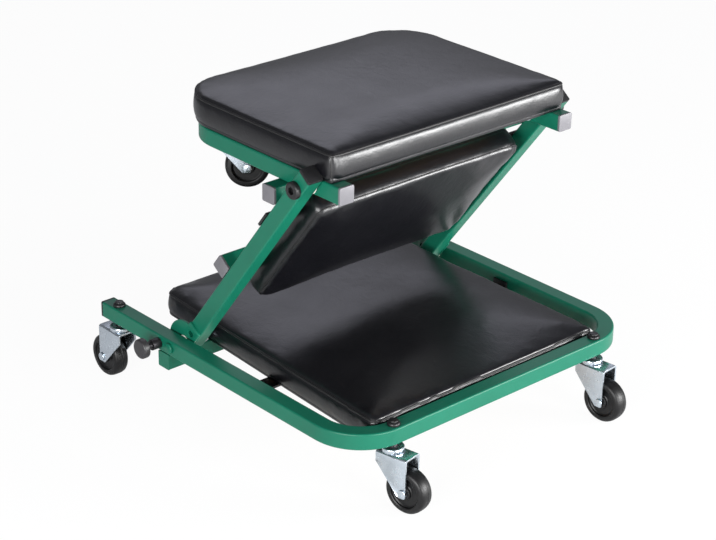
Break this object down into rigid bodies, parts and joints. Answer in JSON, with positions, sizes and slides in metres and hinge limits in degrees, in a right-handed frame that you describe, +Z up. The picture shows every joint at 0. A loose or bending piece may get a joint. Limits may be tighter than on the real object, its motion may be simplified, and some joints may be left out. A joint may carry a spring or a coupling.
{
  "type": "creeper seat",
  "caption": "Folding workshop creeper seat: padded seat on leaning arms that lie flat, over a tubular base on swivel casters, locked by pull pins.",
  "frame": {"origin": "on the floor in the frame's middle plane, half way between the front and the rear wheels' reach", "axes": "+X towards the closed end of the base frame, +Z up, Y across the frame"},
  "size_m": [0.5253, 0.4832, 0.3959],
  "materials": {
    "green_paint": "gloss powder coat",
    "black_paint": "satin black",
    "black_plastic": "moulded",
    "grey_plastic": "moulded",
    "knob_plastic": "moulded",
    "dark_steel": "dark phosphate",
    "zinc": "bright zinc plate",
    "nylon": "turned nylon",
    "plywood": "plywood",
    "vinyl": "grained vinyl",
    "wheel_plastic": "moulded"
  },
  "bodies": {
    "base": {"base_frame": "green_paint", "base_arm_plugs": "black_plastic", "base_cross_tube": "green_paint", "base_pad_strap": "black_paint", "base_pad_board": "plywood", "base_pad": "vinyl", "base_pad_screws": "zinc", "base_caster_stems": "black_paint", "base_caster_races": "zinc", "base_caster_nuts": "black_paint", "lower_pivot_bolts": "green_paint", "lower_pivot_nuts": "zinc", "lock_pin_housing": "dark_steel"},
    "middle": {"middle_arm_left": "green_paint", "middle_arm_right": "green_paint", "middle_arm_plugs": "black_plastic", "lock_plates": "green_paint", "middle_cross_tube": "green_paint", "middle_cross_tube_caps": "grey_plastic", "middle_pad_strap": "black_paint", "middle_pad_board": "plywood", "middle_pad": "vinyl", "middle_pad_screws": "zinc", "upper_pivot_bolts": "black_paint", "upper_pivot_nuts": "zinc", "lower_pivot_washers": "nylon", "upper_pivot_washers": "nylon"},
    "seat": {"seat_frame": "green_paint", "seat_arm_caps": "grey_plastic", "seat_stop_tube": "green_paint", "seat_stop_tube_caps": "grey_plastic", "seat_pad_board": "plywood", "seat_pad": "vinyl", "seat_pad_screws": "zinc", "seat_caster_stems": "black_paint", "seat_caster_races": "zinc", "seat_caster_nuts": "black_paint"},
    "lock_pin_body": {"lock_pin": "dark_steel", "pull_knob": "knob_plastic"},
    "front_left_swivel": {"front_left_fork": "zinc", "front_left_axle": "zinc"},
    "front_left_roller": {"front_left_wheel": "wheel_plastic"},
    "front_right_swivel": {"front_right_fork": "zinc", "front_right_axle": "zinc"},
    "front_right_roller": {"front_right_wheel": "wheel_plastic"},
    "rear_left_swivel": {"rear_left_fork": "zinc", "rear_left_axle": "zinc"},
    "rear_left_roller": {"rear_left_wheel": "wheel_plastic"},
    "rear_right_swivel": {"rear_right_fork": "zinc", "rear_right_axle": "zinc"},
    "rear_right_roller": {"rear_right_wheel": "wheel_plastic"},
    "seat_left_swivel": {"seat_left_fork": "zinc", "seat_left_axle": "zinc"},
    "seat_left_roller": {"seat_left_wheel": "wheel_plastic"},
    "seat_right_swivel": {"seat_right_fork": "zinc", "seat_right_axle": "zinc"},
    "seat_right_roller": {"seat_right_wheel": "wheel_plastic"}
  },
  "joints": [
    {"name": "middle_fold", "type": "hinge", "parent": "base", "child": "middle", "pos_m": [-0.101, 0, 0.09], "axis": [0, -1, 0], "range_deg": [0, 127.3]},
    {"name": "seat_fold", "type": "hinge", "parent": "middle", "child": "seat", "pos_m": [0.09473, 0, 0.34694], "axis": [0, -1, 0], "range_deg": [-127.3, 0]},
    {"name": "lock_pin_slide", "type": "slide", "parent": "base", "child": "lock_pin_body", "axis": [0, 1, 0], "range_m": [0, 0.008]},
    {"name": "front_left_turn", "type": "hinge", "parent": "base", "child": "front_left_swivel", "pos_m": [0.213, -0.16, 0.08], "axis": [0, 0, 1], "continuous": true},
    {"name": "front_left_roll", "type": "hinge", "parent": "front_left_swivel", "child": "front_left_roller", "pos_m": [0.23565, -0.15601, 0.0265], "axis": [-0.1736, 0.9848, 0], "continuous": true},
    {"name": "front_right_turn", "type": "hinge", "parent": "base", "child": "front_right_swivel", "pos_m": [0.213, 0.16, 0.08], "axis": [0, 0, 1], "continuous": true},
    {"name": "front_right_roll", "type": "hinge", "parent": "front_right_swivel", "child": "front_right_roller", "pos_m": [0.23591, 0.16201, 0.0265], "axis": [-0.0872, 0.9962, 0], "continuous": true},
    {"name": "rear_left_turn", "type": "hinge", "parent": "base", "child": "rear_left_swivel", "pos_m": [-0.213, -0.215, 0.08], "axis": [0, 0, 1], "continuous": true},
    {"name": "rear_left_roll", "type": "hinge", "parent": "rear_left_swivel", "child": "rear_left_roller", "pos_m": [-0.236, -0.215, 0.0265], "axis": [0, -1, 0], "continuous": true},
    {"name": "rear_right_turn", "type": "hinge", "parent": "base", "child": "rear_right_swivel", "pos_m": [-0.213, 0.215, 0.08], "axis": [0, 0, 1], "continuous": true},
    {"name": "rear_right_roll", "type": "hinge", "parent": "rear_right_swivel", "child": "rear_right_roller", "pos_m": [-0.236, 0.215, 0.0265], "axis": [0, -1, 0], "continuous": true},
    {"name": "seat_left_turn", "type": "hinge", "parent": "seat", "child": "seat_left_swivel", "pos_m": [-0.12877, -0.113, 0.33694], "axis": [0, 0, 1], "continuous": true},
    {"name": "seat_left_roll", "type": "hinge", "parent": "seat_left_swivel", "child": "seat_left_roller", "pos_m": [-0.11398, -0.09538, 0.28344], "axis": [-0.766, 0.6428, 0], "continuous": true},
    {"name": "seat_right_turn", "type": "hinge", "parent": "seat", "child": "seat_right_swivel", "pos_m": [-0.12877, 0.113, 0.33694], "axis": [0, 0, 1], "continuous": true},
    {"name": "seat_right_roll", "type": "hinge", "parent": "seat_right_swivel", "child": "seat_right_roller", "pos_m": [-0.10715, 0.12087, 0.28344], "axis": [-0.342, 0.9397, 0], "continuous": true}
  ]
}
